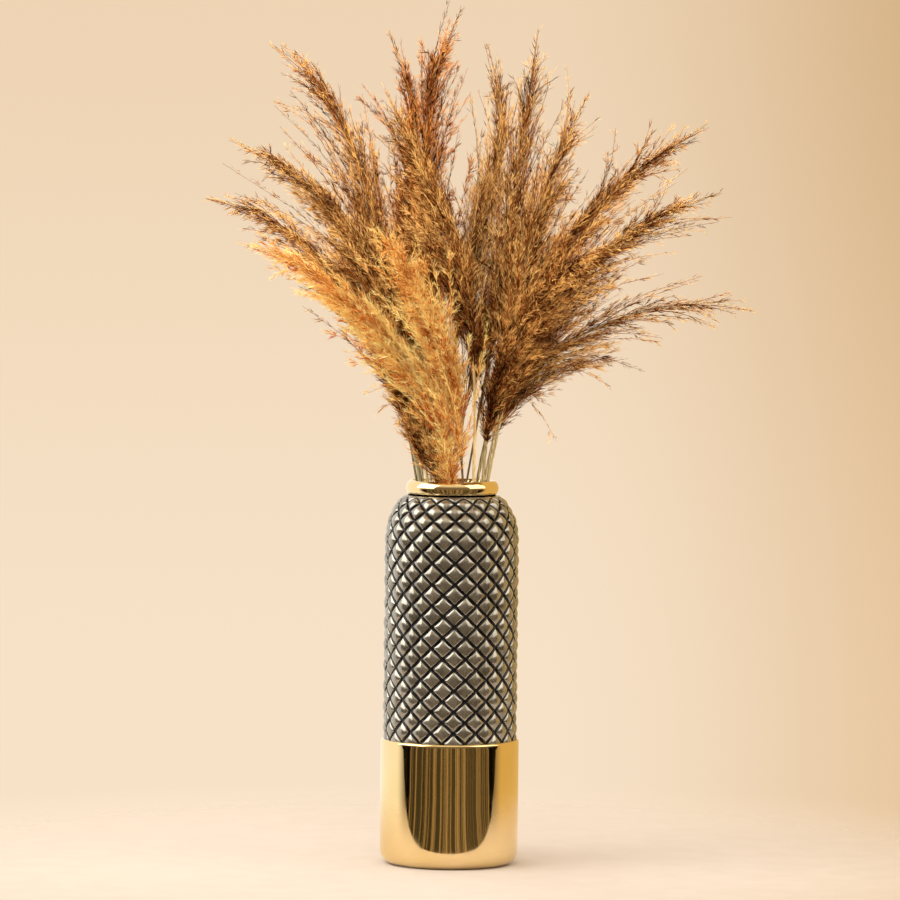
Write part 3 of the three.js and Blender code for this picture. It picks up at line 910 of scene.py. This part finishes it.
def make_floor():
    """A pale floor that fades into the paper behind it."""
    points, quads = lathe([(radius, FLOOR_HEIGHT) for radius in FLOOR_RINGS], 96)
    material, nodes, links, shader, place = new_material("paper_floor")
    grain = noise(nodes, links, place, scale=30.0)
    colour = two_tone(nodes, links, grain, (0.53, 0.476, 0.43), (0.56, 0.506, 0.46))
    links.new(colour, shader.inputs["Base Color"])
    shader.inputs["Roughness"].default_value = 0.9
    shader.inputs["Specular IOR Level"].default_value = 0.1
    distance = nodes.new("ShaderNodeVectorMath")
    distance.operation = "LENGTH"
    links.new(place, distance.inputs[0])
    fade = ranged(nodes, links, distance.outputs["Value"], *FLOOR_FADE, low=1.0, high=0.0)
    links.new(fade, shader.inputs["Alpha"])
    floor = make_piece("floor", [(points, quads, 0, None)], [material])


def make_flag():
    """A dark sheet in front of the paper, seen only in reflections, where it paints the dark part of the
    studio.
    """
    material, nodes, links, shader, place = new_material("painted_studio_reflection")
    parts = nodes.new("ShaderNodeSeparateXYZ")
    links.new(place, parts.inputs["Vector"])
    turn = maths(nodes, links, "ARCTAN2", parts.outputs["X"], parts.outputs["Y"])
    combined = nodes.new("ShaderNodeCombineXYZ")
    links.new(turn, combined.inputs["X"])
    # Painted reflection: dim brown bands, a bright tan line and an orange glow, which the gold and the studs
    # show as the studio; in full in front of the vase, dimmed to a twentieth towards the far sides
    streaks = noise(nodes, links, combined.outputs["Vector"], scale=5.5, detail=4.0, roughness=0.7)
    colour = ramp(nodes, links, streaks, [(0.34, (0.012, 0.010, 0.006)), (0.43, (0.09, 0.07, 0.035)),
                                          (0.47, (0.02, 0.015, 0.008)), (0.50, (0.50, 0.33, 0.15)),
                                          (0.53, (0.02, 0.015, 0.008)), (0.60, (0.13, 0.095, 0.045)),
                                          (0.68, (0.45, 0.27, 0.10))])
    shader.inputs["Base Color"].default_value = (0.0, 0.0, 0.0, 1.0)
    links.new(colour, shader.inputs["Emission Color"])
    aside = maths(nodes, links, "ABSOLUTE", turn)
    glow = ranged(nodes, links, aside, start=1.95, stop=2.0, low=0.05, high=1.0, kind="LINEAR")
    links.new(glow, shader.inputs["Emission Strength"])
    shader.inputs["Roughness"].default_value = 1.0
    shader.inputs["Specular IOR Level"].default_value = 0.0
    near, far = FLAG_DEPTH
    points = [(-FLAG_SIDE, near, 1), (FLAG_SIDE, near, 1), (FLAG_SIDE, far, 1), (-FLAG_SIDE, far, 1)]
    flag = make_piece("studio_reflection_sheet", [(points, [[0, 1, 2, 3]], 0, None)], [material])
    flag.visible_camera = False
    flag.visible_diffuse = False
    flag.visible_shadow = False


def make_softbox(name, azimuth, elevation, distance, size, energy, mirrored, tint):
    """A rectangular light; azimuth 0 is in front of the vase and 90 to its right."""
    data = bpy.data.lights.new(name, "AREA")
    data.shape = "RECTANGLE"
    data.size, data.size_y = size
    data.energy = energy
    data.color = tint
    light = bpy.data.objects.new(name, data)
    a, e = math.radians(azimuth), math.radians(elevation)
    back = Vector((math.sin(a) * math.cos(e), -math.cos(a) * math.cos(e), math.sin(e)))
    light.location = Vector((0, 0, LIGHTS_AIM)) + back * distance
    light.rotation_mode = "QUATERNION"
    light.rotation_quaternion = (-back).to_track_quat("-Z", "Y")
    light.visible_camera = False
    light.visible_glossy = mirrored
    bpy.context.scene.collection.objects.link(light)


def make_lights():
    for name, azimuth, elevation, distance, size, energy, mirrored, tint in (
        ("softbox_left", -72, 27, 1.5, (1.5, 1.3), 19.0, True, NEARLY_WHITE),
        ("softbox_right", 68, 27, 1.7, (1.5, 1.3), 9.5, True, NEARLY_WHITE),
        ("key_left", -42, 42, 2.1, (2.4, 2.4), 36.0, False, NEARLY_WHITE),
        ("fill_front", 8, 22, 2.4, (1.6, 1.2), 20.0, False, NEARLY_WHITE),
        ("fill_right", 66, 44, 2.2, (2.4, 2.4), 16.0, False, AMBER),
        ("back_left", -140, 24, 2.2, (2.0, 2.0), 27.0, False, NEARLY_WHITE),
        ("back_right", 140, 24, 2.2, (2.0, 2.0), 21.0, False, NEARLY_WHITE),
    ):
        make_softbox(name, azimuth, elevation, distance, size, energy, mirrored, tint)


def make_camera():
    data = bpy.data.cameras.new("camera")
    data.lens = CAMERA_LENS
    data.sensor_width = 36.0
    data.clip_start = 0.1
    data.clip_end = 50.0
    camera = bpy.data.objects.new("camera", data)
    place = Vector(CAMERA_PLACE)
    ahead = (Vector(CAMERA_TARGET) - place).normalized()
    roll = math.radians(CAMERA_ROLL)
    right = ahead.cross(Vector((-math.sin(roll), 0.0, math.cos(roll)))).normalized()
    up = right.cross(ahead)
    turn = Matrix((right, up, -ahead)).transposed()
    camera.matrix_world = Matrix.Translation(place) @ turn.to_4x4()
    bpy.context.scene.collection.objects.link(camera)
    bpy.context.scene.camera = camera


make_camera()
make_world()
make_floor()
make_flag()
make_lights()
bpy.context.scene.view_settings.view_transform = "Standard"

make_vase()
straws = {name: straw_material(f"straw_{name}", *colours) for name, colours in STRAWS.items()}
fluffs = {name: fluff_material(f"fluff_{name}", *colours) for name, colours in TONES.items()}
for index, stalk in enumerate(STALKS):
    foot, neck, spine = stalk_line(stalk)
    straw = straws[stalk["straw"]]
    make_stem(index, stalk, foot, neck, straw)
    make_plume(index, stalk, neck, spine, fluffs[stalk["tone"]], straw)
